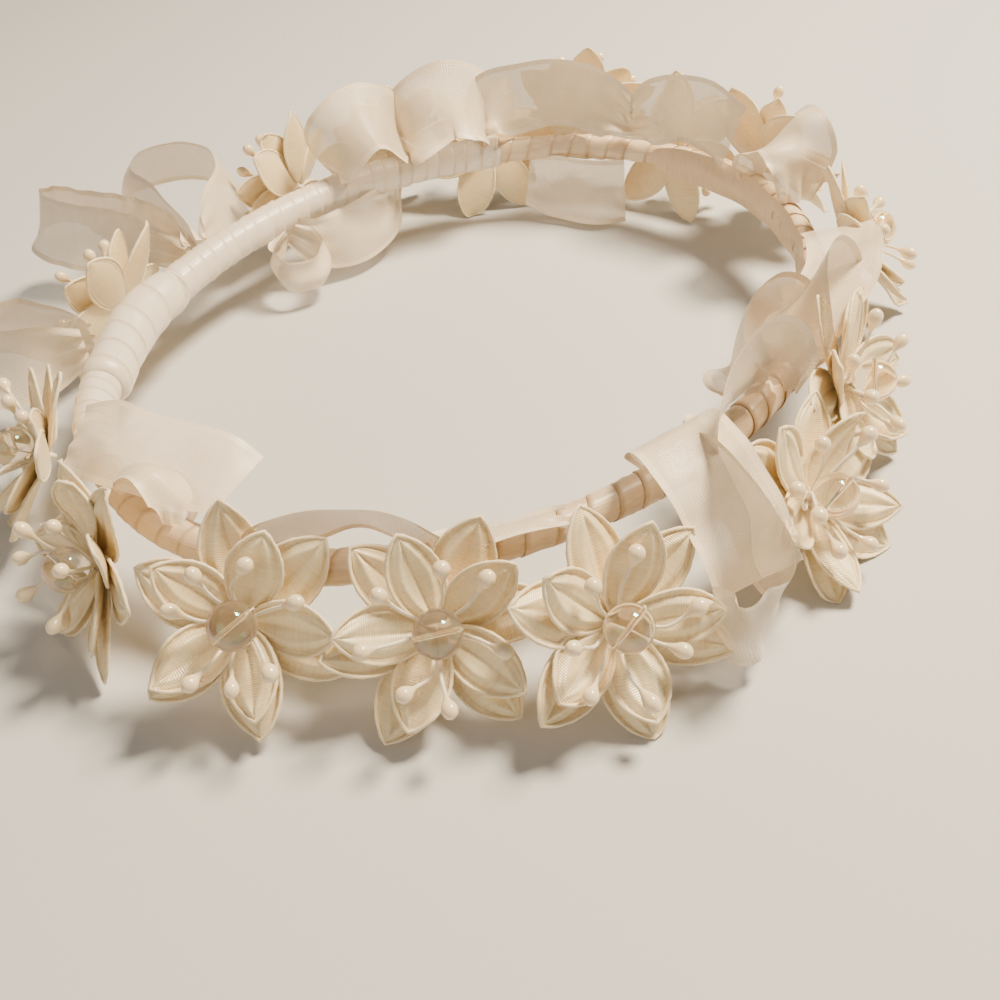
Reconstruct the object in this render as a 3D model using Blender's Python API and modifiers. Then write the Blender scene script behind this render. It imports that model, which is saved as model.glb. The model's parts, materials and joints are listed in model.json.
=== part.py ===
"""Flower crown: an oval wire ring bound in satin ribbon, fifteen two-layer satin flowers with a bead
and pearl stamens at each centre, and loops and tails of sheer ribbon between them.

Metres, +Z up. The crown lies flat on its lowest petal tips, and the origin is the middle of its
footprint on that surface. Every bead is drilled crosswise and turns on the wire loop through it."""

import math

import bmesh
import bpy
from mathutils import Matrix, Vector

MM = 0.001
CROWN = "flower_crown"

# Ring
RING_INNER_LENGTH = 194 * MM
RING_INNER_WIDTH = 160 * MM
RING_TURN = math.radians(45)
RING_STEP = 10
WIRE_RADIUS = 0.9 * MM
THICK_BAND_RADIUS = 4.5 * MM
THIN_BAND_RADIUS = 3.4 * MM
JOINT_WRAP_WALL = 1.6 * MM
BORE_CLEARANCE = 0.5 * MM
BAND_HEIGHT = 23 * MM
THICK_BAND_SPAN = (80, 210)
JOINT_WRAP_SPAN = (160, 190)
WRAP_END_GAP = 0.5

# Flower
PETAL_THICKNESS = 0.8 * MM
HUB_RADIUS = 4.0 * MM
OUTER_PETALS = 6
OUTER_TIP_RADIUS = 22.5 * MM
OUTER_TIP_RISE = 4.0 * MM
INNER_PETALS = 5
INNER_TIP_RADIUS = 18.0 * MM
INNER_TIP_RISE = 7.5 * MM
INNER_LAYER_RISE = 0.45 * MM
NOTCH_SHARE = 0.52

# Flower centre
STEM_RADIUS = 0.6 * MM
STEM_CLEARANCE = 0.7 * MM
BINDING_RADIUS = 1.6 * MM
BINDING_LENGTH = 1.4 * MM
SEAT_CLEARANCE = 0.35 * MM
BEAD_RADIUS = 5.0 * MM
BEAD_WIRE_RADIUS = 0.25 * MM
BEAD_BORE_CLEARANCE = 0.35 * MM
STAMENS = 6
THREAD_RADIUS = 0.35 * MM
PEARL_RADIUS = 1.7 * MM
PEARL_LENGTH = 4.6 * MM
STAMEN_REACH = 15.5 * MM
STAMEN_RISE = 12.0 * MM

# Sheer ribbon
RIBBON_WIDTH = 20 * MM
RIBBON_THICKNESS = 0.5 * MM
STATIONS_PER_SPAN = 2

# Flowers round the ring: azimuth, reach of the petals from the band in mm, lift of the lowest petal
# tip off the resting surface in mm, then the upward tilt of the face, its swing round the upright
# and the spin of the petals, in degrees.
FLOWERS = {
    "01": (-137, 9.0, 0.0, 22, -10, 10),
    "02": (-118, 9.0, 3.0, 38, 16, 36),
    "03": (-98, 9.0, 2.0, 38, 0, 4),
    "04": (-81, 20.0, 0.0, 36, 4, 28),
    "05": (-50, 17.0, 0.0, 34, 4, 0),
    "06": (-30, 9.0, 2.0, 24, 0, 40),
    "07": (8, 9.0, 3.0, 30, 0, 20),
    "08": (33, 9.0, 8.0, 26, 0, 0),
    "09": (65, 10.0, 8.0, 22, 0, 34),
    "10": (99, 10.0, 7.0, 24, 0, 0),
    "11": (119, 9.0, 2.0, 12, 26, 44),
    "12": (163, 9.0, 1.0, 26, 0, 6),
    "13": (-161, 9.0, 0.0, 32, 0, 30),
    "14": (49, 5.0, 0.0, -26, 0, 12),
    "15": (82, 5.0, 0.0, -28, 0, 53),
}

FABRICS = {
    "petal_satin": ((0.86, 0.74, 0.55), 0.42, 0.0),
    "wrap_satin": ((0.90, 0.82, 0.70), 0.38, 0.0),
    "organza": ((0.86, 0.74, 0.62), 0.30, 0.0),
    "pearl": ((0.92, 0.84, 0.70), 0.25, 0.0),
    "glass": ((0.85, 0.80, 0.85), 0.08, 0.0),
    "wire": ((0.55, 0.53, 0.50), 0.35, 1.0),
}


def clear_scene():
    for old in list(bpy.data.objects):
        bpy.data.objects.remove(old, do_unlink=True)


def new_collection(name):
    collection = bpy.data.collections.new(name)
    bpy.context.scene.collection.children.link(collection)
    return collection


def make_materials():
    made = {}
    for name, (colour, roughness, metallic) in FABRICS.items():
        material = bpy.data.materials.new(name)
        material.use_nodes = True
        shader = material.node_tree.nodes["Principled BSDF"]
        shader.inputs["Base Color"].default_value = (*colour, 1)
        shader.inputs["Roughness"].default_value = roughness
        shader.inputs["Metallic"].default_value = metallic
        material.diffuse_color = (*colour, 1)
        made[name] = material
    return made


def add_object(name, data, material, collection=None):
    """A named object in the crown's collection, with one material."""
    if not data.materials:
        data.materials.append(material)
    made = bpy.data.objects.new(name, data)
    (collection or parts).objects.link(made)
    return made


def to_mesh(source):
    """The evaluated mesh of an object, welded, in place of the object itself."""
    graph = bpy.context.evaluated_depsgraph_get()
    mesh = bpy.data.meshes.new_from_object(source.evaluated_get(graph))
    mesh.transform(source.matrix_world)
    work = bmesh.new()
    work.from_mesh(mesh)
    bmesh.ops.remove_doubles(work, verts=work.verts, dist=0.00001)
    bmesh.ops.recalc_face_normals(work, faces=work.faces)
    work.to_mesh(mesh)
    work.free()
    bpy.data.objects.remove(source, do_unlink=True)
    return mesh


def tube_curve(name, points, radius, radii=None, cyclic=False, capped=True, resolution=0):
    """A round tube along a polyline, thicker where its radii say."""
    curve = bpy.data.curves.new(name, "CURVE")
    curve.dimensions = "3D"
    curve.twist_mode = "Z_UP"
    curve.bevel_depth = radius
    curve.bevel_resolution = resolution
    curve.use_fill_caps = capped and not cyclic
    curve.render_resolution_u = 0
    spline = curve.splines.new("POLY")
    spline.points.add(len(points) - 1)
    for index, point in enumerate(points):
        spline.points[index].co = (*point, 1)
        spline.points[index].radius = radii[index] if radii else 1
    spline.use_cyclic_u = cyclic
    return curve


def join(name, meshes, material):
    """One solid from overlapping meshes, by Boolean union onto the first."""
    body = add_object(name, meshes[0], material)
    tools = []
    for index, mesh in enumerate(meshes[1:]):
        tool = add_object(f"{name}_tool_{index}", mesh, material, cutters)
        tool.hide_render = True
        tool.display_type = "WIRE"
        tools.append(tool)
        union = body.modifiers.new(f"union_{index}", "BOOLEAN")
        union.operation = "UNION"
        union.object = tool
    mesh = to_mesh(body)
    for tool in tools:
        bpy.data.objects.remove(tool, do_unlink=True)
    return mesh


# Ring

def ring_place(azimuth):
    """The middle of the band at an azimuth in degrees, with its tangent, outward and up directions."""
    half_length = RING_INNER_LENGTH / 2 + THICK_BAND_RADIUS
    half_width = RING_INNER_WIDTH / 2 + THICK_BAND_RADIUS
    turn = math.radians(azimuth) - RING_TURN
    along = half_width * math.cos(turn)
    across = half_length * math.sin(turn)
    reach = half_length * half_width / math.hypot(along, across)
    local = Vector((reach * math.cos(turn), reach * math.sin(turn), 0))
    normal = Vector((local.x / half_length ** 2, local.y / half_width ** 2, 0)).normalized()
    spin = Matrix.Rotation(RING_TURN, 3, "Z")
    middle = spin @ local + Vector((0, 0, BAND_HEIGHT))
    outward = spin @ normal
    up = Vector((0, 0, 1))
    return middle, up.cross(outward), outward, up


def ring_arc(start, end):
    """Points along the band from one azimuth to another, on the ring's common grid of steps."""
    stops = [start]
    stops += [a for a in range(-360, 720, RING_STEP) if start < a < end]
    stops.append(end)
    return [ring_place(azimuth)[0] for azimuth in stops]


def hollow_sleeve(name, span, bore_radius, wall, material):
    """An open-ended sleeve round the ring between two azimuths."""
    curve = tube_curve(name, ring_arc(*span), bore_radius + wall, capped=False, resolution=2)
    sleeve = add_object(name, to_mesh(add_object(name + "_skin", curve, material)), material)
    shell = sleeve.modifiers.new("wall", "SOLIDIFY")
    shell.thickness = wall
    shell.offset = -1
    return sleeve


def make_ring():
    loop = [ring_place(azimuth)[0] for azimuth in range(0, 360, RING_STEP)]
    curve = tube_curve("ring_wire", loop, WIRE_RADIUS, cyclic=True, resolution=1)
    add_object("ring_wire", to_mesh(add_object("ring_wire_path", curve, materials["wire"])),
               materials["wire"])
    bore = WIRE_RADIUS + BORE_CLEARANCE
    satin = materials["wrap_satin"]
    start, end = THICK_BAND_SPAN
    hollow_sleeve("band_wrap_thick", THICK_BAND_SPAN, bore, THICK_BAND_RADIUS - bore, satin)
    thin_span = (end + WRAP_END_GAP, start + 360 - WRAP_END_GAP)
    hollow_sleeve("band_wrap_thin", thin_span, bore, THIN_BAND_RADIUS - bore, satin)
    hollow_sleeve("joint_wrap", JOINT_WRAP_SPAN, THICK_BAND_RADIUS + BORE_CLEARANCE,
                  JOINT_WRAP_WALL, satin)


def band_radius(azimuth):
    start, end = THICK_BAND_SPAN
    turned = azimuth % 360
    radius = THICK_BAND_RADIUS if start <= turned <= end else THIN_BAND_RADIUS
    start, end = JOINT_WRAP_SPAN
    if start <= turned <= end:
        radius += BORE_CLEARANCE + JOINT_WRAP_WALL
    return radius


# Flowers

def petal_layer(name, petals, tip_radius, tip_rise, base_rise, hole_radius):
    """A cupped star of pointed petals round a pierced hub, mapped from a plane grid of angle by
    radius and given its thickness by Solidify."""
    work = bmesh.new()
    turns = 2 * petals
    bmesh.ops.create_grid(work, x_segments=turns, y_segments=2, size=1)
    for vertex in work.verts:
        angle = (vertex.co.x + 1) * math.pi
        ring = round(vertex.co.y + 1)
        notch = round((vertex.co.x + 1) * petals) % 2
        share = NOTCH_SHARE if notch else 1
        radius = (hole_radius, HUB_RADIUS, tip_radius * share)[ring]
        rise = (0, 0, tip_rise * share)[ring]
        vertex.co = (radius * math.cos(angle), radius * math.sin(angle), base_rise + rise)
    bmesh.ops.remove_doubles(work, verts=work.verts, dist=0.00001)
    bmesh.ops.recalc_face_normals(work, faces=work.faces)
    mesh = bpy.data.meshes.new(name)
    work.to_mesh(mesh)
    work.free()
    layer = add_object(name, mesh, materials["petal_satin"])
    shell = layer.modifiers.new("cloth", "SOLIDIFY")
    shell.thickness = PETAL_THICKNESS
    shell.offset = 0
    return to_mesh(layer)


def petal_mesh():
    """Both petal layers, bonded at the hub."""
    hole = STEM_RADIUS + STEM_CLEARANCE
    outer = petal_layer("outer_layer", OUTER_PETALS, OUTER_TIP_RADIUS, OUTER_TIP_RISE, 0, hole)
    inner = petal_layer("inner_layer", INNER_PETALS, INNER_TIP_RADIUS, INNER_TIP_RISE,
                        INNER_LAYER_RISE, hole * 1.1)
    return join("petal_layers", [outer, inner], materials["petal_satin"])


def bead_height():
    """Height of the bead's centre in front of the petals' hub."""
    return binding_base() + BINDING_LENGTH + SEAT_CLEARANCE + BEAD_RADIUS


def binding_base():
    return INNER_LAYER_RISE + PETAL_THICKNESS / 2 + SEAT_CLEARANCE


def bead_mesh():
    """A drilled ball, turned about its bore, which lies along its own Z."""
    bore = BEAD_WIRE_RADIUS + BEAD_BORE_CLEARANCE
    top = math.acos(bore / BEAD_RADIUS)
    arcs = 5
    profile = []
    for index in range(arcs + 1):
        angle = top - 2 * top * index / arcs
        profile.append((BEAD_RADIUS * math.cos(angle), 0, BEAD_RADIUS * math.sin(angle)))
    mesh = bpy.data.meshes.new("bead_profile")
    edges = [(index, (index + 1) % len(profile)) for index in range(len(profile))]
    mesh.from_pydata(profile, edges, [])
    ball = add_object("bead_profile", mesh, materials["glass"])
    turned = ball.modifiers.new("turned", "SCREW")
    turned.axis = "Z"
    turned.angle = math.tau
    turned.steps = 8
    turned.render_steps = 8
    turned.use_merge_vertices = True
    turned.merge_threshold = 0.00001
    return to_mesh(ball)


def bead_wire_points():
    """A closed wire loop in the flower's XZ plane: through the bead's bore along X, round the back
    of the ball on both sides, and down into the binding."""
    round_radius = BEAD_RADIUS + SEAT_CLEARANCE + BEAD_WIRE_RADIUS
    height = bead_height()
    points = []
    for degrees in (-8, -35, -62, -90, -118, -145, -172):
        angle = math.radians(degrees)
        points.append((round_radius * math.cos(angle), 0, height + round_radius * math.sin(angle)))
    entry = round_radius * 0.985
    points.append((-entry, 0, height))
    points.append((entry, 0, height))
    return points


def stamen(index):
    """One thread bent outward from the binding, with a teardrop pearl on its end."""
    angle = math.tau * (index + 0.4) / STAMENS
    lift = 1.0 if index % 2 else 0.84
    side = Vector((math.cos(angle), math.sin(angle), 0))
    up = Vector((0, 0, 1))
    root = binding_base() + BINDING_LENGTH / 2
    neck = STAMEN_REACH - PEARL_LENGTH
    rise = STAMEN_RISE * lift
    points = [
        side * THREAD_RADIUS + up * root,
        side * neck * 0.6 + up * (root + rise * 0.3),
        side * neck + up * (rise * 0.75),
        side * (neck + PEARL_LENGTH * 0.6) + up * (rise * 0.92),
        side * STAMEN_REACH + up * rise,
    ]
    pearl = PEARL_RADIUS / THREAD_RADIUS
    radii = [1, 1, 1.1, pearl, pearl * 0.35]
    curve = tube_curve("stamen", points, THREAD_RADIUS, radii=radii)
    return to_mesh(add_object("stamen", curve, materials["pearl"]))


def centre_mesh(stem_points):
    """Binding, stamens, the bead's wire loop and the stem wire, as one bound stem."""
    bm = bmesh.new()
    lift = Matrix.Translation((0, 0, binding_base() + BINDING_LENGTH / 2))
    bmesh.ops.create_cone(bm, cap_ends=True, segments=8, radius1=BINDING_RADIUS,
                          radius2=BINDING_RADIUS, depth=BINDING_LENGTH, matrix=lift)
    binding = bpy.data.meshes.new("binding")
    bm.to_mesh(binding)
    bm.free()
    loop = tube_curve("bead_loop", bead_wire_points(), BEAD_WIRE_RADIUS, cyclic=True)
    stem = tube_curve("stem", stem_points, STEM_RADIUS)
    pieces = [binding]
    pieces.append(to_mesh(add_object("bead_loop", loop, materials["wire"])))
    pieces.append(to_mesh(add_object("stem", stem, materials["wire"])))
    pieces += [stamen(index) for index in range(STAMENS)]
    return join("stem_and_stamens", pieces, materials["pearl"])


def flower_frame(azimuth, reach, lift, tilt, swing, spin, petals):
    """Where a flower sits: its local Z faces out of the ring, tilted up, and its lowest petal tip
    is held just off the resting surface."""
    middle, tangent, outward, up = ring_place(azimuth)
    lean = math.radians(tilt)
    ahead = Matrix.Rotation(math.radians(swing), 3, "Z") @ outward
    face = ahead * math.cos(lean) + up * math.sin(lean)
    top = up * math.cos(lean) - ahead * math.sin(lean)
    side = top.cross(face)
    turn = Matrix((side, top, face)).transposed() @ Matrix.Rotation(math.radians(spin), 3, "Z")
    lowest = min((turn @ vertex.co).z for vertex in petals.vertices)
    hub = middle + outward * (band_radius(azimuth) + reach * MM)
    hub.z = lift * MM - lowest
    return Matrix.Translation(hub) @ turn.to_4x4()


def stem_route(azimuth, frame):
    """The stem's points in the flower's own frame: straight back through the hub, then across to
    the nearest side of the band."""
    middle, tangent, outward, up = ring_place(azimuth)
    back = Vector((0, 0, -2 * MM))
    toward = frame @ back - middle
    toward = (toward - tangent * toward.dot(tangent)).normalized()
    landing = middle + toward * (band_radius(azimuth) + SEAT_CLEARANCE)
    inverse = frame.inverted()
    return [
        Vector((0, 0, binding_base() + BINDING_LENGTH / 2)),
        Vector((0, 0, -PETAL_THICKNESS)),
        back,
        inverse @ (landing + toward * STEM_RADIUS),
        inverse @ landing,
    ]


def make_flowers():
    petals = petal_mesh()
    bead = bead_mesh()
    across = Matrix.Rotation(math.radians(90), 4, "Y")
    for number, (azimuth, *pose) in FLOWERS.items():
        frame = flower_frame(azimuth, *pose, petals)
        blossom = add_object(f"flower_{number}_petals", petals, materials["petal_satin"])
        blossom.matrix_world = frame
        centre = centre_mesh(stem_route(azimuth, frame))
        bound = add_object(f"flower_{number}_stamens", centre, materials["pearl"])
        bound.matrix_world = frame
        ball = add_object(f"flower_{number}_bead", bead, materials["glass"])
        ball.matrix_world = frame @ Matrix.Translation((0, 0, bead_height())) @ across


# Sheer ribbon

def smooth(points):
    """A Catmull-Rom curve through the points, with a few stations on each span."""
    made = []
    last = len(points) - 1
    for index in range(last):
        before = points[max(index - 1, 0)]
        here, there = points[index], points[index + 1]
        after = points[min(index + 2, last)]
        for step in range(STATIONS_PER_SPAN):
            t = step / STATIONS_PER_SPAN
            made.append(0.5 * (2 * here + (there - before) * t
                               + (2 * before - 5 * here + 4 * there - after) * t ** 2
                               + (3 * here - before - 3 * there + after) * t ** 3))
    made.append(points[-1])
    return made


def ribbon(name, azimuth, route, width=RIBBON_WIDTH):
    """A ribbon through hand-chosen stations beside the band. Each station is its middle and the
    direction of its width, both as tangent, outward and up from the band's centre, in mm."""
    middle, tangent, outward, up = ring_place(azimuth)
    basis = Matrix((tangent, outward, up)).transposed()
    line = smooth([middle + basis @ (Vector(station) * MM) for station, way in route])
    ways = smooth([basis @ Vector(way).normalized() for station, way in route])
    work = bmesh.new()
    spans = len(line) - 1
    bmesh.ops.create_grid(work, x_segments=spans, y_segments=1, size=1)
    for vertex in work.verts:
        index = round((vertex.co.x + 1) / 2 * spans)
        vertex.co = line[index] + ways[index].normalized() * vertex.co.y * width / 2
    mesh = bpy.data.meshes.new(name)
    work.to_mesh(mesh)
    work.free()
    strip = add_object(name, mesh, materials["organza"])
    shell = strip.modifiers.new("cloth", "SOLIDIFY")
    shell.thickness = RIBBON_THICKNESS
    shell.offset = 0
    shell.use_even_offset = True
    return strip


UPRIGHT = (0, 0, 1)
SIDEWAYS = (1, 0, 0)
OUTWARD = (0, 1, 0)
ACROSS = (0.1, 1, 0.25)
ASKEW = (0.79, 0.63, -0.35)

# Each ribbon: the azimuth it is tied at, then its stations.
RIBBONS = {
    "organza_bow_loop_large": (147, [
        ((-1, 12, 3), UPRIGHT), ((-5, 29, 3), UPRIGHT), ((-12, 47, 3), UPRIGHT), ((-25, 57, 3), UPRIGHT),
        ((-39, 50, 3), UPRIGHT), ((-40, 32, 3), UPRIGHT), ((-30, 19, 3), UPRIGHT), ((-16, 13, 3), UPRIGHT),
        ((-6, 10, 3), UPRIGHT)]),
    "organza_bow_loop_small": (153, [
        ((-11, 15, 1), UPRIGHT), ((-12, 31, 1), UPRIGHT), ((-12, 47, 1), UPRIGHT), ((-13, 62, 1), UPRIGHT),
        ((-6, 66, 1), UPRIGHT), ((-1, 60, 1), UPRIGHT), ((-1, 47, 1), UPRIGHT), ((-4, 35, 1), UPRIGHT),
        ((-6, 24, 1), UPRIGHT)]),
    "organza_loop_left": (178, [
        ((2, 8, 4), UPRIGHT), ((2, 16, 4), UPRIGHT), ((0, 25, 4), UPRIGHT), ((3, 34, 4), UPRIGHT),
        ((12, 37, 4), UPRIGHT), ((18, 31, 4), UPRIGHT), ((17, 21, 4), UPRIGHT), ((12, 14, 4), UPRIGHT),
        ((8, 8, 4), UPRIGHT)]),
    "organza_puff_back": (107, [
        ((8, -2, 7), OUTWARD), ((6, -4, 15), OUTWARD), ((0, -4, 20), OUTWARD), ((-6, -4, 15), OUTWARD),
        ((-8, -2, 7), OUTWARD)]),
    "organza_sash_back": (62, [
        ((34, -9, 16), UPRIGHT), ((24, -3, 16), UPRIGHT), ((14, 1, 16), UPRIGHT), ((3, 0, 16), UPRIGHT),
        ((-7, -2, 15), UPRIGHT), ((-17, -4, 15), UPRIGHT), ((-27, -6, 16), UPRIGHT),
        ((-37, -11, 16), UPRIGHT), ((-44, -19, 14), UPRIGHT)]),
    "organza_tail_back": (66, [
        ((0, -6, -6), SIDEWAYS), ((1, -9, -11), SIDEWAYS), ((2, -13, -16), SIDEWAYS)]),
    "organza_loop_right": (20, [
        ((14, -2, 6), OUTWARD), ((10, 0, 16), OUTWARD), ((2, 2, 22), OUTWARD), ((-4, 4, 18), OUTWARD),
        ((-6, 4, 8), OUTWARD)]),
    "organza_tail_right": (-12, [
        ((16, 4, 12), ACROSS), ((4, 6, 14), ACROSS), ((-8, 6, 13), ACROSS), ((-18, 2, 10), ACROSS)]),
    "organza_loop_front_right": (-36, [
        ((-12, -5, 15), UPRIGHT), ((-4, -8, 16), UPRIGHT), ((6, -7, 16), UPRIGHT), ((13, -4, 15), UPRIGHT)]),
    "organza_loop_front": (-64, [
        ((6, 7, 2), UPRIGHT), ((2, 16, 3), UPRIGHT), ((0, 27, 1), UPRIGHT), ((-3, 36, -4), UPRIGHT)]),
    "organza_tail_left": (-147, [
        ((-2, -1, 9), ASKEW), ((5, -4, 10), ASKEW), ((14, -10, 10), ASKEW), ((24, -17, 9), ASKEW)]),
}


def make_ribbons():
    for name, (azimuth, route) in RIBBONS.items():
        ribbon(name, azimuth, route)


def centre_on_origin():
    """Ties every piece to one datum and moves it so that the footprint is centred on the origin,
    with the lowest petal tips on the plane through it."""
    bpy.context.view_layer.update()
    graph = bpy.context.evaluated_depsgraph_get()
    corners = []
    for piece in parts.objects:
        shape = piece.evaluated_get(graph).to_mesh()
        corners += [piece.matrix_world @ vertex.co for vertex in shape.vertices]
    low = Vector([min(corner[axis] for corner in corners) for axis in range(3)])
    high = Vector([max(corner[axis] for corner in corners) for axis in range(3)])
    middle = (low + high) / 2
    datum = bpy.data.objects.new("crown_datum", None)
    for piece in parts.objects:
        piece.parent = datum
    parts.objects.link(datum)
    datum.location = (-middle.x, -middle.y, -low.z)
    bpy.context.view_layer.update()


clear_scene()
parts = new_collection(CROWN)
cutters = new_collection("cutters")
materials = make_materials()
make_ring()
make_flowers()
make_ribbons()
centre_on_origin()
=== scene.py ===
"""The looks of a bridal flower crown: padded satin flowers, sheer organza loops and a band wound
in satin ribbon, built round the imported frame. Everything is in metres in the frame's own axes."""

import json
import math

import bpy
import numpy as np
from mathutils import Matrix, Vector


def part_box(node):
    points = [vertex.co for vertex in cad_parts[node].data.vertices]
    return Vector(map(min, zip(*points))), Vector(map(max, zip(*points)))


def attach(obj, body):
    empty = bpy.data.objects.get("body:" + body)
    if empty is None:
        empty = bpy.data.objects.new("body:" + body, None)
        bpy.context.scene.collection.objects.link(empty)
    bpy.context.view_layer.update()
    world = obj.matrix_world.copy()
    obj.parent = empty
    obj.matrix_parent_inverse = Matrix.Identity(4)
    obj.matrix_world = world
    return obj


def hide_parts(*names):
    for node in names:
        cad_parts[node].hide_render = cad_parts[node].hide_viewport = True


MM = 0.001
CROWN = "crown"

# The ring, as an oval turned about the upright. Spans are azimuths in degrees.
RING_INNER_LENGTH = 194 * MM
RING_INNER_WIDTH = 160 * MM
RING_TURN = math.radians(45)
THICK_BAND_RADIUS = 4.5 * MM
THICK_BAND_SPAN = (80, 210)
JOINT_WRAP_SPAN = (160, 190)
LINING_SPAN = (50, -22)
SPAN_OVERLAP = 2

# The ribbons wound round the band or laid along it.
THICK_RIBBON_WIDTH = 10 * MM
THIN_RIBBON_WIDTH = 12 * MM
JOINT_RIBBON_WIDTH = 18 * MM
LINING_WIDTH = 10.5 * MM
BAND_SAMPLES = 600
STEPS_PER_TURN = 22
WOUND_COLUMNS = 9
WOUND_THICKNESS = 0.12 * MM
OVERLAP_LIFT = 0.85 * MM
FOLD_HEIGHT = 0.14 * MM
TAPER_LENGTH = 7 * MM
LINING_ROWS = 90
LINING_COLUMNS = 13
LINING_REACH = 4.1 * MM
LINING_TAPER_LENGTH = 12 * MM

# A flower's centre, in front of its hub. Its random draws start from the seed and its number.
HUB_TO_BEAD = 8.0 * MM
BEAD_RADIUS = 5.0 * MM
BEAD_BORE_RADIUS = 0.4 * MM
BEAD_ROWS = 25
BEAD_SIDES = 40
BORE_ROWS = 4
LOOP_WIRE_RADIUS = 0.2 * MM
STAMENS = 7
STAMEN_THREAD_RADIUS = 0.40 * MM
FLOWER_SEED = 100

# Stations of a stamen's thread, as shares of its reach, sway and rise.
STAMEN_STATIONS = ((0.34, 0.5, 0.24), (0.70, 1.0, 0.72), (1.0, 0.6, 1.0))

# The neck of a pearl, as shares of its length and radius.
PEARL_NECK = ((0, 0.24), (0.12, 0.34), (0.25, 0.52), (0.38, 0.76), (0.50, 0.94))

# The binding of the stamens, as heights over the hub and radii in mm.
BINDING_PROFILE = ((-2.0, 0.6), (0.2, 1.0), (1.0, 1.6), (1.8, 1.7), (2.4, 0.9))

# The two layers of petals: how many, the first one's angle in degrees, the petals' length and
# width, the gap from the hub's axis to their base, the lift off the hub and the rise of the tips.
PETAL_LAYERS = {
    "outer": {"petals": 6, "phase": 0, "length": 22.6 * MM, "width": 12.4 * MM,
              "base": 1.6 * MM, "lift": 0.0, "rise": 4.0 * MM},
    "inner": {"petals": 5, "phase": 30, "length": 18.6 * MM, "width": 11.4 * MM,
              "base": 1.4 * MM, "lift": 0.9 * MM, "rise": 7.0 * MM},
}

# Petal mesh. Places across a petal are shares of its half width.
PETAL_COLUMNS = 27
PETAL_ROWS = 25
BACK_COLUMNS = 7
BACK_ROWS = 11
BACK_DEPTH = 0.3 * MM
PETAL_ROLL = math.radians(7)
ALMOND_PLACE = 0.50
CHANNEL_PLACE = 0.82
CORD_POINTS = 25
CORD_RADIUS = 0.40 * MM
CORD_SIDES = 6
CORD_HEIGHT = 0.12 * MM

# Cloth lower than the settle height is pressed up by the surface it lies on.
FLOOR_GAP = 0.1 * MM
SETTLE_HEIGHT = 1.6 * MM

TINY = 1e-12

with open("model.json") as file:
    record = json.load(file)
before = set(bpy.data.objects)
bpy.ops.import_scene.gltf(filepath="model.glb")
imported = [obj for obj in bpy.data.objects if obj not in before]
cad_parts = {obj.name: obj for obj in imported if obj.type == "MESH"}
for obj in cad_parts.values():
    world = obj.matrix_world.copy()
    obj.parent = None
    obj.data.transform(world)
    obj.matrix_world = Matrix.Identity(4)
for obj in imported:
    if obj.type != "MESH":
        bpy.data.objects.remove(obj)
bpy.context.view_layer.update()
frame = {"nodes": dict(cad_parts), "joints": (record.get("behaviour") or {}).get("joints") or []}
NODES = frame["nodes"]
JOINTS = {joint["child"]: joint for joint in frame["joints"]}


# ---------------------------------------------------------------- meshes

def grid_faces(rows, columns, close_columns=False):
    """Quads of a grid of vertices numbered row by row."""
    spans = columns if close_columns else columns - 1
    row = np.arange(rows - 1)[:, None]
    column = np.arange(spans)[None, :]
    after = (column + 1) % columns
    quads = np.stack([row * columns + column, row * columns + after,
                      (row + 1) * columns + after, (row + 1) * columns + column], -1)
    return quads.reshape(-1, 4)


class Shape:
    """Collects vertices, quads, UVs in metres, a tint per vertex and a material per face. It keeps
    all of them above the surface that the crown lies on."""

    def __init__(self):
        self.points, self.quads, self.uvs, self.tints, self.slots = [], [], [], [], []
        self.count = 0

    def add(self, points, quads, uvs=None, tint=0.5, slot=0):
        points = np.array(points, float).reshape(-1, 3)
        span = SETTLE_HEIGHT - FLOOR_GAP
        low = points[:, 2] < SETTLE_HEIGHT
        points[low, 2] = FLOOR_GAP + span * np.exp((points[low, 2] - SETTLE_HEIGHT) / span)
        self.points.append(points)
        self.quads.append(quads + self.count)
        uvs = np.zeros((len(points), 2)) if uvs is None else uvs
        self.uvs.append(np.asarray(uvs).reshape(-1, 2))
        self.tints.append(np.full(len(points), tint) if np.isscalar(tint) else np.ravel(tint))
        self.slots.append(np.full(len(quads), slot))
        self.count += len(points)

    def build(self, name, materials):
        points = np.concatenate(self.points).astype(np.float32)
        quads = np.concatenate(self.quads).astype(np.int32)
        mesh = bpy.data.meshes.new(name)
        mesh.vertices.add(len(points))
        mesh.vertices.foreach_set("co", points.ravel())
        mesh.loops.add(quads.size)
        mesh.loops.foreach_set("vertex_index", quads.ravel())
        mesh.polygons.add(len(quads))
        mesh.polygons.foreach_set("loop_start", np.arange(0, quads.size, 4, dtype=np.int32))
        mesh.polygons.foreach_set("material_index", np.concatenate(self.slots).astype(np.int32))
        mesh.update(calc_edges=True)
        layer = mesh.uv_layers.new(name="weave")
        corner_uvs = np.concatenate(self.uvs)[quads.ravel()].astype(np.float32)
        layer.data.foreach_set("uv", corner_uvs.ravel())
        tint = mesh.attributes.new("tint", "FLOAT", "POINT")
        tint.data.foreach_set("value", np.concatenate(self.tints).astype(np.float32))
        mesh.validate()
        mesh.shade_smooth()
        for material in materials:
            mesh.materials.append(material)
        made = bpy.data.objects.new(name, mesh)
        bpy.context.scene.collection.objects.link(made)
        return made


# Crossed with a tube's first direction, this starts its cross-section.
UNALIGNED = (0.31, 0.52, 0.79)


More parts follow.
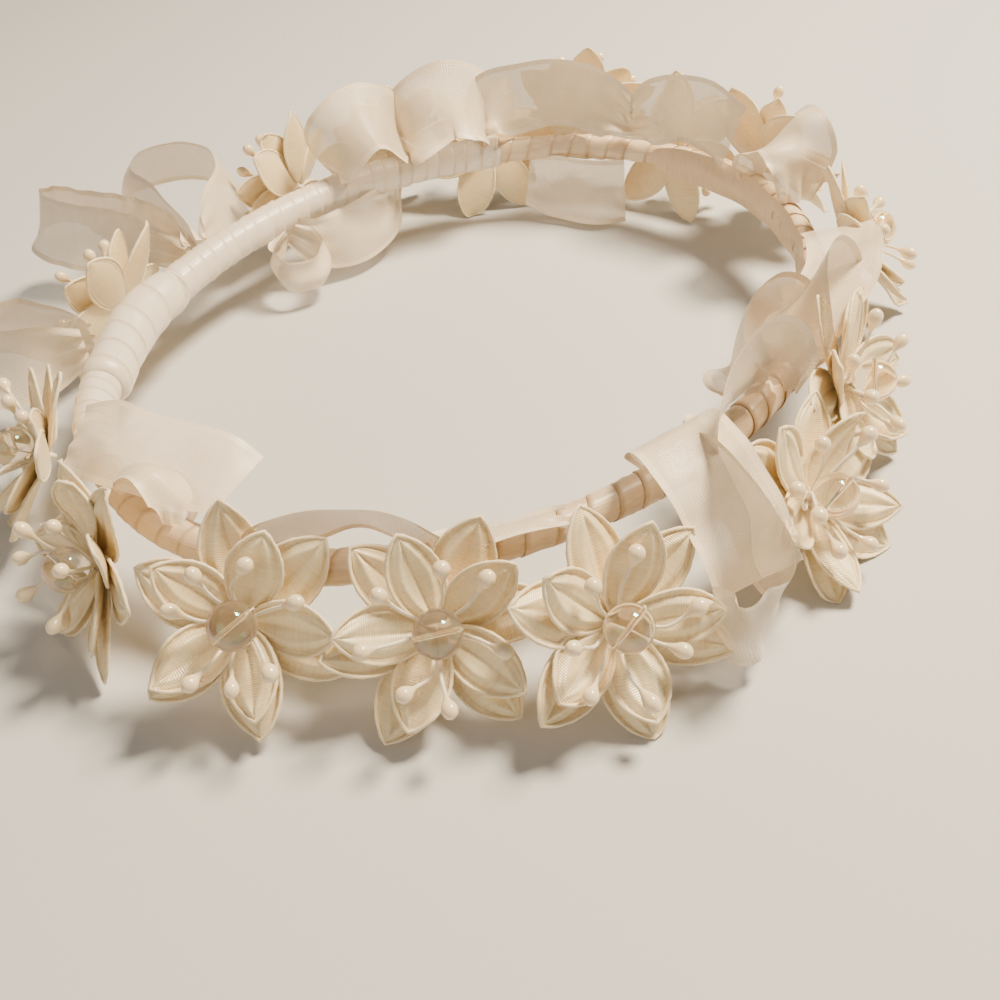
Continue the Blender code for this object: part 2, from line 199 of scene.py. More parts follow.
def add_tube(shape, line, radii, sides, slot=0, tint=0.5, closed=False):
    """A round tube along a line. Its ends are open, unless their radii draw them to a point."""
    line = np.asarray(line, float)
    radii = np.broadcast_to(np.asarray(radii, float), (len(line),))
    if closed:
        ahead = np.roll(line, -1, 0) - np.roll(line, 1, 0)
    else:
        ahead = np.gradient(line, axis=0)
    ahead /= np.linalg.norm(ahead, axis=1)[:, None] + TINY
    side = np.cross(ahead[0], UNALIGNED)
    sides_of, ups = [], []
    for way in ahead:
        side = side - way * side.dot(way)
        side = side / (np.linalg.norm(side) + TINY)
        sides_of.append(side)
        ups.append(np.cross(way, side))
    angles = np.linspace(0, math.tau, sides, endpoint=False)
    ring = (np.array(sides_of)[:, None] * np.cos(angles)[None, :, None]
            + np.array(ups)[:, None] * np.sin(angles)[None, :, None])
    points = line[:, None] + ring * radii[:, None, None]
    run = run_along(line)
    uvs = np.stack(np.broadcast_arrays(angles[None] * radii.max(), run[:, None]), -1)
    rows = len(line)
    quads = grid_faces(rows, sides, close_columns=True)
    if closed:
        last = (rows - 1) * sides
        seam = np.arange(sides)
        after = (seam + 1) % sides
        quads = np.concatenate([quads, np.stack([last + seam, last + after, after, seam], -1)])
    shape.add(points, quads, uvs, tint, slot)


def curve_through(points, per_span):
    """A Catmull-Rom curve through the rows of an array, end points included."""
    points = np.asarray(points, float)
    padded = np.concatenate([2 * points[:1] - points[1:2], points, 2 * points[-1:] - points[-2:-1]])
    made = []
    for index in range(len(points) - 1):
        before, here, there, after = padded[index:index + 4]
        for step in range(per_span):
            t = step / per_span
            made.append(0.5 * (2 * here + (there - before) * t
                               + (2 * before - 5 * here + 4 * there - after) * t ** 2
                               + (3 * here - before - 3 * there + after) * t ** 3))
    made.append(points[-1])
    return np.array(made)


def unit(vectors):
    vectors = np.asarray(vectors, float)
    return vectors / (np.linalg.norm(vectors, axis=-1, keepdims=True) + TINY)


def run_along(line):
    """Distance of each point of a line from its first, along the line."""
    steps = np.linalg.norm(np.diff(line, axis=0), axis=1)
    return np.concatenate([[0], np.cumsum(steps)])


def soft_noise(along, across, seed, waves=5):
    """A smooth, repeatable ripple over two coordinates, from a few seeded sine waves. Most of it
    lies between -1 and 1."""
    rng = np.random.default_rng(seed)
    total = 0
    for _ in range(waves):
        a, b = rng.normal(0, 1, 2)
        total = total + np.sin(a * along + b * across + rng.uniform(0, math.tau))
    return total / math.sqrt(waves)


# ---------------------------------------------------------------- materials

# Sockets of a colour mix node, which share their names with its other kinds.
MIX_LOW, MIX_HIGH, MIX_RESULT = 6, 7, 2

# A band wave of scale 1 repeats each tau / 20 of its coordinate.
WAVE_SCALE_PER_PITCH = 0.314

# Distance between the organza's threads, and how much more of the light they stop.
ORGANZA_PITCH = 0.42 * MM
THREAD_COVER = 0.34

# Satin's colour is its painted sheen streaks times their strength, plus its tint less the tint's
# middle.
SHEEN_STREAK_STRENGTH = 0.9
TINT_MIDDLE = 0.45


def node_tree(name):
    """A new material, its node tree and its shader node."""
    material = bpy.data.materials.new(name)
    material.use_nodes = True
    tree = material.node_tree
    return material, tree, tree.nodes["Principled BSDF"]


def put(tree, kind, **settings):
    """A new node, with its inputs and properties set by name."""
    node = tree.nodes.new(kind)
    for key, value in settings.items():
        if key in node.inputs.keys():
            node.inputs[key].default_value = value
        else:
            setattr(node, key, value)
    return node


def set_inputs(node, **values):
    """Sets inputs by name, with an underscore for each space in the name."""
    for key, value in values.items():
        node.inputs[key.replace("_", " ")].default_value = value


def colour_mix(tree, factor, low, high):
    """A colour between low and high, by a factor from 0 to 1."""
    mix = put(tree, "ShaderNodeMix", data_type="RGBA")
    mix.inputs[MIX_LOW].default_value = (*low, 1)
    mix.inputs[MIX_HIGH].default_value = (*high, 1)
    tree.links.new(factor, mix.inputs[0])
    return mix.outputs[MIX_RESULT]


def stretched_noise(tree, scale_across, scale_along, detail=2.0):
    """Noise on the weave UVs, in features per metre across and along."""
    uv = put(tree, "ShaderNodeUVMap", uv_map="weave")
    mapping = put(tree, "ShaderNodeMapping", Scale=(scale_across, scale_along, 1))
    noise = put(tree, "ShaderNodeTexNoise", Scale=1.0, Detail=detail)
    tree.links.new(uv.outputs[0], mapping.inputs[0])
    tree.links.new(mapping.outputs[0], noise.inputs["Vector"])
    return noise.outputs["Fac"]


def rib_wave(tree, pitch, direction="Y"):
    """Fine parallel ribs on the weave UVs, about one pitch in metres apart."""
    uv = put(tree, "ShaderNodeUVMap", uv_map="weave")
    wave = put(tree, "ShaderNodeTexWave", wave_type="BANDS", bands_direction=direction,
               Scale=WAVE_SCALE_PER_PITCH / pitch, Distortion=1.2)
    set_inputs(wave, Detail_Scale=0.6)
    tree.links.new(uv.outputs[0], wave.inputs["Vector"])
    return wave.outputs["Fac"]


def add_bump(tree, shader, height, distance, strength, under=None):
    """A bump from a height, over the one under it, into the shader where there is one."""
    bump = put(tree, "ShaderNodeBump", Strength=strength, Distance=distance)
    tree.links.new(height, bump.inputs["Height"])
    if under is not None:
        tree.links.new(under, bump.inputs["Normal"])
    if shader is not None:
        tree.links.new(bump.outputs[0], shader.inputs["Normal"])
    return bump.outputs[0]


def satin(name, dark, light, roughness, rib, sheen, relief):
    """Silky woven cloth: fine ribs, long silky streaks of sheen painted into its colour, and a
    little light through it.
    """
    material, tree, shader = node_tree(name)
    # Painted sheen: long streaks of lighter and darker colour stand in for the satin's silky
    # highlights.
    sheen_streaks = stretched_noise(tree, 180, 1500)
    tint = put(tree, "ShaderNodeAttribute", attribute_name="tint")
    blend = put(tree, "ShaderNodeMath", operation="MULTIPLY_ADD", use_clamp=True)
    tree.links.new(sheen_streaks, blend.inputs[0])
    blend.inputs[1].default_value = SHEEN_STREAK_STRENGTH
    shift = put(tree, "ShaderNodeMath", operation="SUBTRACT")
    shift.inputs[1].default_value = TINT_MIDDLE
    tree.links.new(tint.outputs["Fac"], shift.inputs[0])
    tree.links.new(shift.outputs[0], blend.inputs[2])
    tree.links.new(colour_mix(tree, blend.outputs[0], dark, light), shader.inputs["Base Color"])
    ribs = add_bump(tree, None, rib_wave(tree, rib), relief, 0.7)
    add_bump(tree, shader, sheen_streaks, relief * 1.5, 0.4, under=ribs)
    set_inputs(shader, Roughness=roughness, Sheen_Weight=sheen, Sheen_Roughness=0.35,
               Sheen_Tint=(1.0, 0.95, 0.84, 1), Specular_IOR_Level=0.85, Anisotropic=0.6,
               Subsurface_Weight=0.12, Subsurface_Radius=(1.0, 0.7, 0.4),
               Subsurface_Scale=1.6 * MM)
    return material


def thread_material(name, dark, light):
    """Twisted cotton cord: short slanting plies."""
    material, tree, shader = node_tree(name)
    plies = stretched_noise(tree, 900, 2600, 1.0)
    tree.links.new(colour_mix(tree, plies, dark, light), shader.inputs["Base Color"])
    add_bump(tree, shader, plies, 0.12 * MM, 0.7)
    set_inputs(shader, Roughness=0.55, Sheen_Weight=0.3)
    return material


def organza_material(name, dark, light, cover):
    """Sheer plain weave: see-through between its threads, with denser woven edges (tint 1)."""
    material, tree, shader = node_tree(name)
    sheen_bands = stretched_noise(tree, 120, 240, 3.0)
    tree.links.new(colour_mix(tree, sheen_bands, dark, light), shader.inputs["Base Color"])
    tint = put(tree, "ShaderNodeAttribute", attribute_name="tint")
    weft = rib_wave(tree, ORGANZA_PITCH, "Y")
    warp = rib_wave(tree, ORGANZA_PITCH, "X")
    weave = put(tree, "ShaderNodeMath", operation="MULTIPLY")
    tree.links.new(weft, weave.inputs[0])
    tree.links.new(warp, weave.inputs[1])
    cloth = put(tree, "ShaderNodeMath", operation="MULTIPLY_ADD")
    tree.links.new(weave.outputs[0], cloth.inputs[0])
    cloth.inputs[1].default_value = THREAD_COVER
    cloth.inputs[2].default_value = cover
    edge = put(tree, "ShaderNodeMath", operation="ADD", use_clamp=True)
    tree.links.new(cloth.outputs[0], edge.inputs[0])
    tree.links.new(tint.outputs["Fac"], edge.inputs[1])
    tree.links.new(edge.outputs[0], shader.inputs["Alpha"])
    add_bump(tree, shader, weave.outputs[0], 0.09 * MM, 0.9)
    set_inputs(shader, Roughness=0.27, Sheen_Weight=0.35, Sheen_Roughness=0.3,
               Sheen_Tint=(1.0, 0.93, 0.82, 1), Specular_IOR_Level=1.0)
    return material


def pearl_material():
    """Warm coated pearl with faint clouds of tone."""
    material, tree, shader = node_tree("pearl_coating")
    cloud = stretched_noise(tree, 500, 500, 1.0)
    tree.links.new(colour_mix(tree, cloud, (0.88, 0.70, 0.44), (0.97, 0.84, 0.60)),
                   shader.inputs["Base Color"])
    set_inputs(shader, Roughness=0.24, Coat_Weight=0.7, Coat_Roughness=0.12,
               Subsurface_Weight=0.2, Subsurface_Scale=1.0 * MM)
    return material


def bead_material():
    """Clear glass with an iridescent skin that shifts a little over the ball. Its amber colour is
    painted reflection: the warm glints seen inside the clear bead.
    """
    material, tree, shader = node_tree("iridescent_glass")
    cloud = stretched_noise(tree, 160, 160, 1.0)
    tree.links.new(colour_mix(tree, cloud, (1.0, 0.84, 0.56), (1.0, 0.95, 0.84)),
                   shader.inputs["Base Color"])
    set_inputs(shader, Transmission_Weight=0.95, Roughness=0.04, IOR=1.50,
               Thin_Film_Thickness=380.0, Thin_Film_IOR=1.7)
    return material


def steel_material():
    material, tree, shader = node_tree("drawn_wire")
    scratch = stretched_noise(tree, 3000, 200, 1.0)
    tree.links.new(colour_mix(tree, scratch, (0.42, 0.40, 0.37), (0.62, 0.60, 0.57)),
                   shader.inputs["Base Color"])
    set_inputs(shader, Metallic=1.0, Roughness=0.35)
    return material


def floor_material():
    material, tree, shader = node_tree("floor_paper")
    noise = put(tree, "ShaderNodeTexNoise", Scale=900.0, Detail=2.0)
    place = put(tree, "ShaderNodeTexCoord")
    tree.links.new(place.outputs["Object"], noise.inputs["Vector"])
    add_bump(tree, shader, noise.outputs["Fac"], 0.05 * MM, 0.2)
    set_inputs(shader, Base_Color=(0.62, 0.63, 0.64, 1), Roughness=0.8)
    return material


PETAL = satin("petal_satin", (0.86, 0.64, 0.33), (1.0, 0.90, 0.62), roughness=0.30,
              rib=0.45 * MM, sheen=0.2, relief=0.07 * MM)
EDGE_CORD = thread_material("petal_edge_cord", (0.84, 0.66, 0.38), (1.0, 0.91, 0.68))
WRAP = satin("wrap_satin", (0.84, 0.70, 0.53), (0.97, 0.88, 0.74), roughness=0.38, rib=0.6 * MM,
             sheen=0.25, relief=0.03 * MM)
# Painted shade: a darker, tan copy of the wrap satin, standing in for the band's shaded inside and
# back. The thin band and the lining wear it all along.
SHADED_WRAP = satin("shaded_wrap_satin", (0.62, 0.42, 0.24), (0.86, 0.67, 0.45), roughness=0.40,
                 rib=0.6 * MM, sheen=0.25, relief=0.03 * MM)
ORGANZA = organza_material("organza", (0.92, 0.74, 0.52), (1.0, 0.90, 0.72), 0.70)
PEARL = pearl_material()
STAMEN_THREAD = thread_material("stamen_thread", (0.84, 0.72, 0.52), (0.97, 0.90, 0.76))
GLASS = bead_material()
STEEL = steel_material()


# ---------------------------------------------------------------- ring

def ring_places(azimuths):
    """Middle of the band, tangent and outward directions at azimuths in degrees, as arrays."""
    low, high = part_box("ring_wire")
    centre = (np.array(low) + np.array(high)) / 2
    half_length = RING_INNER_LENGTH / 2 + THICK_BAND_RADIUS
    half_width = RING_INNER_WIDTH / 2 + THICK_BAND_RADIUS
    turn = np.radians(azimuths) - RING_TURN
    reach = half_length * half_width / np.hypot(half_width * np.cos(turn),
                                                half_length * np.sin(turn))
    x, y = reach * np.cos(turn), reach * np.sin(turn)
    normal = unit(np.stack([x / half_length ** 2, y / half_width ** 2], -1))
    c, s = math.cos(RING_TURN), math.sin(RING_TURN)
    flat = np.zeros_like(x)
    middle = np.stack([c * x - s * y, s * x + c * y, flat], -1) + centre
    outward = np.stack([c * normal[:, 0] - s * normal[:, 1],
                        s * normal[:, 0] + c * normal[:, 1], flat], -1)
    tangent = np.stack([-outward[:, 1], outward[:, 0], flat], -1)
    return middle, tangent, outward


def wound_band(name, span, radius, pitch, ribbon_width, material, seed, lump, taper=None):
    """One long ribbon wound round the ring in overlapping turns, one pitch apart. lump is how far
    the band under it goes in and out, and taper the radius that its ends are drawn down to."""
    azimuths = np.linspace(span[0], span[1], BAND_SAMPLES)
    middles, _, _ = ring_places(azimuths)
    run = run_along(middles)
    turns = (run[-1] + ribbon_width) / pitch
    winding = np.linspace(0, turns, int(turns * STEPS_PER_TURN) + 1)[:, None]
    share = np.linspace(0, 1, WOUND_COLUMNS)[None, :]
    jitter = soft_noise(winding * 1.7, 0, seed, 4) * pitch * 0.12
    along = np.clip(pitch * winding + jitter + ribbon_width * (share - 1), 0, run[-1])
    azimuth = np.interp(along, run, azimuths)
    middle, _, outward = ring_places(azimuth.ravel())
    angle = (winding * math.tau + 0 * share).ravel()
    around = np.cos(angle).reshape(along.shape)
    body = radius + lump * soft_noise(along * 90, around * 1.3, seed + 1)
    if taper is not None:
        ends = np.clip(np.minimum(along, run[-1] - along) / TAPER_LENGTH, 0, 1)
        body = taper + (body - taper) * np.sqrt(ends * (2 - ends))
    fold = FOLD_HEIGHT * soft_noise(share * 9 + winding * 3, winding * 5, seed + 2, 4)
    lift = OVERLAP_LIFT * (1 - share) ** 0.5 + fold
    reach = (body + lift).ravel()[:, None]
    up = np.array([0, 0, 1.0])
    points = middle + (outward * np.cos(angle)[:, None] + up * np.sin(angle)[:, None]) * reach
    uvs = np.stack(np.broadcast_arrays(ribbon_width * share, winding * math.tau * radius), -1)
    shadowed_edge = 0.7 * (share < 0.01)
    tint = 0.62 + 0.16 * soft_noise(winding * 2.2, share * 2, seed + 3) - shadowed_edge
    shape = Shape()
    shape.add(points, grid_faces(len(winding), WOUND_COLUMNS), uvs,
              np.broadcast_to(tint, along.shape))
    made = shape.build(name, [material])
    skin = made.modifiers.new("cloth", "SOLIDIFY")
    skin.thickness = WOUND_THICKNESS
    skin.offset = 0
    return made


def declare_wound(piece, ribbon_width, slot, *nodes):
    """Puts a wound ribbon in its nodes' place. Its ribbon width is not used."""
    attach(piece, CROWN)
    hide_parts(*nodes)


def lining_strip():
    """A satin ribbon glued flat along the inside of the band at the right."""
    middle, _, outward = ring_places(np.linspace(*LINING_SPAN, LINING_ROWS))
    run = run_along(middle)[:, None]
    across = np.linspace(-1, 1, LINING_COLUMNS)[None, :]
    ends = np.clip(np.minimum(run, run[-1] - run) / LINING_TAPER_LENGTH, 0, 1) ** 0.5
    ripple = 0.4 * MM * soft_noise(run * 120, across * 1.5, 61)
    reach = -(LINING_REACH + ripple - 1.3 * MM * across ** 2)
    up = np.array([0, 0, 1.0])
    points = (middle[:, None] + outward[:, None] * reach[..., None]
              + up * (across * LINING_WIDTH / 2 * (0.55 + 0.45 * ends) - 0.6 * MM)[..., None])
    uvs = np.stack(np.broadcast_arrays(across * LINING_WIDTH / 2, run), -1)
    shape = Shape()
    tint = 0.55 + 0.15 * soft_noise(run * 60, across, 62)
    shape.add(points, grid_faces(LINING_ROWS, LINING_COLUMNS), uvs, tint)
    # The lining is drawn in the darker copy of the wrap satin, as painted shade inside the ring.
    made = shape.build("lining_ribbon", [SHADED_WRAP])
    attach(made, CROWN)


def make_band():
    thick = wound_band("thick_band_ribbon", THICK_BAND_SPAN, radius=4.2 * MM, pitch=4.8 * MM,
                       ribbon_width=THICK_RIBBON_WIDTH, material=WRAP, seed=11,
                       lump=0.25 * MM, taper=3.4 * MM)
    declare_wound(thick, THICK_RIBBON_WIDTH, "wrap_satin", "band_wrap_thick")
    thin_span = (THICK_BAND_SPAN[1] - SPAN_OVERLAP, THICK_BAND_SPAN[0] + 360 + SPAN_OVERLAP)
    # The thin band is drawn in the darker copy of the wrap satin, as painted shade.
    thin = wound_band("thin_band_ribbon", thin_span, radius=3.0 * MM, pitch=6.6 * MM,
                      ribbon_width=THIN_RIBBON_WIDTH, material=SHADED_WRAP, seed=23,
                      lump=0.25 * MM)
    declare_wound(thin, THIN_RIBBON_WIDTH, "wrap_satin", "band_wrap_thin")
    joint = wound_band("joint_ribbon", JOINT_WRAP_SPAN, radius=5.7 * MM, pitch=8.5 * MM,
                       ribbon_width=JOINT_RIBBON_WIDTH, material=WRAP, seed=37,
                       lump=0.9 * MM, taper=4.4 * MM)
    declare_wound(joint, JOINT_RIBBON_WIDTH, "wrap_satin", "joint_wrap")
    lining_strip()
    wire = NODES["ring_wire"]
    wire.data.materials.clear()
    wire.data.materials.append(STEEL)


# ---------------------------------------------------------------- flowers

def flower_axes(number):
    """The flower's hub and its side, top and face directions, from its bead's joint and its petals
    node."""
    joint = JOINTS[f"bead_{number}"]
    bead = np.array(joint["pos_m"])
    side = unit(joint["axis"])
    petals = np.array([vertex.co for vertex in NODES[f"flower_{number}_petals"].data.vertices])
    face = bead - petals.mean(0)
    face = unit(face - side * face.dot(side))
    return bead - face * HUB_TO_BEAD, side, np.cross(face, side), face


def petal_width(t):
    """Half width of a petal along its length, as a share of its widest: a pointed oval."""
    return np.clip(4 * t * (1 - t), 0, 1) ** (0.60 + 0.26 * t)


def petal_relief(s, t):
    """Height of the padded face over a flat petal, in mm: a dome, a stitched line inside the edge,
    an embossed almond and a groove down the middle."""
    ends = np.clip(np.minimum(t, 1 - t) * 7, 0, 1)
    almond = ALMOND_PLACE * np.sin(np.pi * np.clip(t * 1.08, 0, 1)) ** 0.55
    ridge = 0.50 * np.exp(-((np.abs(s) - almond) / 0.15) ** 2)
    channel = -0.50 * np.exp(-((np.abs(s) - CHANNEL_PLACE) / 0.075) ** 2)
    groove = -0.62 * np.exp(-(s / 0.10) ** 2) * np.clip(1.5 - 1.2 * t, 0, 1)
    return (0.80 * (1 - s ** 2) + ridge + channel + groove) * (0.2 + 0.8 * ends)


def petal(shape, place, rng, length, width, base, rise, curl, roll, tint):
    """One padded petal with a corded edge. place maps rows of (across, out, up) to world points,
    rise is the tip's height over the base, curl bends the petal and roll turns it on its axis."""
    sway = rng.normal(0, 0.06) * width
    ripple, phase = rng.normal(0, 0.5 * MM), rng.uniform(0, math.tau)
    cup = rng.uniform(0.2, 1.3) * MM

    def bend(s, t, half, height):
        lean = rise * t ** 1.4
        across = s * half + sway * t ** 2
        up = curl * (t ** 3 - 0.4 * t) + cup * s ** 2 * np.sin(np.pi * t)
        up = up + ripple * np.sin(5 * t + phase) * s + height
        turned = across * math.cos(roll) - up * math.sin(roll)
        lifted = lean + across * math.sin(roll) + up * math.cos(roll)
        local = np.broadcast_arrays(turned, base + length * t, lifted)
        return place(np.stack(local, -1).reshape(-1, 3))

    t = np.linspace(0.0, 1.0, PETAL_ROWS)[:, None]
    s = np.linspace(-1.0, 1.0, PETAL_COLUMNS)[None, :]
    half = petal_width(t) * width / 2
    relief = petal_relief(s, t) * MM
    uvs = np.stack(np.broadcast_arrays(s * half, length * t), -1)
    # Painted shade: besides its own tone, the petal's tint rises on the padding and the almond
    # ridges and drops in the stitched channel and the middle groove. It is also a little lighter
    # towards the tip.
    tone_and_painted_shade = tint + 0.16 * (relief / MM - 0.5) + 0.10 * (t - 0.5)
    shape.add(bend(s, t, half, relief), grid_faces(PETAL_ROWS, PETAL_COLUMNS), uvs, tone_and_painted_shade)
    t = np.linspace(0.0, 1.0, BACK_ROWS)[:, None]
    s = np.linspace(-1.0, 1.0, BACK_COLUMNS)[None, :]
    half = petal_width(t) * width / 2
    uvs = np.stack(np.broadcast_arrays(s * half, length * t), -1)
    # Painted shade: the back of each petal is given a darker tint than its face.
    shape.add(bend(s, t, half, -BACK_DEPTH * (1 - s ** 2)),
              grid_faces(BACK_ROWS, BACK_COLUMNS)[:, ::-1], uvs, tint - 0.1)
    edge_t = np.concatenate([np.linspace(0, 1, CORD_POINTS),
                             np.linspace(1, 0, CORD_POINTS)[1:-1]])
    edge_s = np.where(np.arange(len(edge_t)) < CORD_POINTS, 1.0, -1.0)
    line = bend(edge_s, edge_t, petal_width(edge_t) * width / 2, CORD_HEIGHT)
    twist = 1 + 0.16 * np.sin(np.arange(len(line)) * 2.1)
    add_tube(shape, line, CORD_RADIUS * twist, CORD_SIDES, slot=1, tint=0.6, closed=True)


def petal_ring(number, layer, axes, rng, petals, phase, length, width, base, lift, rise):
    """One layer of a flower's petals, each a little different."""
    hub, side, top, face = axes
    shape = Shape()
    for index in range(petals):
        angle = math.radians(phase + 360 * index / petals + rng.normal(0, 2.5))
        out = side * math.cos(angle) + top * math.sin(angle)
        across = np.cross(face, out)

        def place(local, out=out, across=across):
            return (hub + face * lift + across * local[:, :1] + out * local[:, 1:2]
                    + face * local[:, 2:])

        petal(shape, place, rng, length * rng.uniform(0.95, 1.03), width * rng.uniform(0.93, 1.06),
              base, rise * rng.uniform(0.75, 1.25), curl=rng.normal(0, 1.0) * MM,
              roll=PETAL_ROLL + rng.normal(0, 0.06), tint=rng.uniform(0.35, 0.62))
    return shape.build(f"flower_{number}_{layer}_petals", [PETAL, EDGE_CORD])


def pearl_stamen(shape, axes, rng, angle, reach, rise):
    """A waxed thread that bends outward from the binding and swells into a teardrop pearl."""
    hub, side, top, face = axes
    out = side * math.cos(angle) + top * math.sin(angle)
    across = np.cross(face, out)
    sway = rng.normal(0, 1.8) * MM
    pearl_length = rng.uniform(4.8, 5.8) * MM
    reach, rise = reach - pearl_length, rise - 1.5 * MM
    line = [hub + out * 0.6 * MM + face * 1.6 * MM]
    for share, bend, lift in STAMEN_STATIONS:
        line.append(hub + out * reach * share + across * sway * bend
                    + face * (2 * MM + (rise - 2 * MM) * lift))
    line = curve_through(line, 5)
    twist = 1 + 0.10 * np.sin(np.arange(len(line)) * 1.9)
    add_tube(shape, line, STAMEN_THREAD_RADIUS * twist, 7, slot=1)
    way = unit(line[-1] - line[-2])
    turn = np.linspace(0, math.pi / 2, 6)
    neck = np.array(PEARL_NECK)
    along = np.concatenate([neck[:, 0], 0.62 + 0.38 * np.sin(turn)])
    radius = np.concatenate([neck[:, 1], np.cos(turn)])
    head = rng.uniform(1.55, 1.85) * MM
    add_tube(shape, line[-1] + way * (along[:, None] * pearl_length - 0.4 * MM),
             np.maximum(radius, 0.02) * head, 14)


def flower_centre(number, axes, rng):
    """Binding, bunch of stamens and the bead's fine wire loop."""
    hub, side, _, face = axes
    shape = Shape()
    for index in range(STAMENS):
        angle = math.tau * (index + 0.5 + rng.normal(0, 0.16)) / STAMENS
        pearl_stamen(shape, axes, rng, angle, reach=rng.uniform(13.5, 18.0) * MM,
                     rise=rng.uniform(8.5, 14.5) * MM)
    heights, radii = zip(*BINDING_PROFILE)
    binding = [hub + face * height * MM for height in heights]
    add_tube(shape, binding, np.array(radii) * MM, 10, slot=1)
    loop = []
    radius = BEAD_RADIUS + 0.4 * MM
    for degrees in range(-8, -178, -12):
        angle = math.radians(degrees)
        loop.append(hub + side * radius * math.cos(angle)
                    + face * (HUB_TO_BEAD + radius * math.sin(angle)))
    for share in np.linspace(-1, 1, 8):
        loop.append(hub + side * (BEAD_RADIUS + 0.2 * MM) * share + face * HUB_TO_BEAD)
    add_tube(shape, loop, LOOP_WIRE_RADIUS, 6, slot=1, closed=True)
    return shape.build(f"flower_{number}_stamen_bunch", [PEARL, STAMEN_THREAD])


def drilled_bead(number, axes):
    """A round bead with its bore along its own joint's axis."""
    hub, side, top, face = axes
    centre = hub + face * HUB_TO_BEAD
    start = math.acos(BEAD_BORE_RADIUS / BEAD_RADIUS)
    angles = np.linspace(-start, start, BEAD_ROWS)
    bore = np.linspace(math.sin(start), -math.sin(start), BORE_ROWS + 1)[1:]
    along = np.concatenate([np.sin(angles), bore]) * BEAD_RADIUS
    around = np.concatenate([np.cos(angles) * BEAD_RADIUS, np.full(BORE_ROWS, BEAD_BORE_RADIUS)])
    turn = np.linspace(0, math.tau, BEAD_SIDES, endpoint=False)
    ring = top[None] * np.cos(turn)[:, None] + face[None] * np.sin(turn)[:, None]
    points = centre + side * along[:, None, None] + ring[None] * around[:, None, None]
    uvs = np.stack(np.broadcast_arrays(turn[None] * BEAD_RADIUS, along[:, None]), -1)
    shape = Shape()
    shape.add(points, grid_faces(len(along), len(turn), close_columns=True), uvs)
    return shape.build(f"flower_{number}_glass_bead", [GLASS])


def make_flowers():
    for body in sorted(JOINTS):
        number = body.split("_")[1]
        rng = np.random.default_rng(FLOWER_SEED + int(number))
        axes = flower_axes(number)
        outer = petal_ring(number, "outer", axes, rng, **PETAL_LAYERS["outer"])
        inner = petal_ring(number, "inner", axes, rng, **PETAL_LAYERS["inner"])
        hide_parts(f"flower_{number}_petals")
        for layer in (outer, inner):
            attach(layer, CROWN)
        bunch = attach(flower_centre(number, axes, rng), CROWN)
        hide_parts(f"flower_{number}_stamens")
        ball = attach(drilled_bead(number, axes), body)
        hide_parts(f"flower_{number}_bead")


# ---------------------------------------------------------------- organza

UPRIGHT = (0, 0, 1)
SIDEWAYS = (1, 0, 0)
OUTWARD = (0, 1, 0)
ACROSS = (0.1, 1, 0.25)
ASKEW = (0.79, 0.63, -0.35)
LEANING = (0, 0.3, 1)

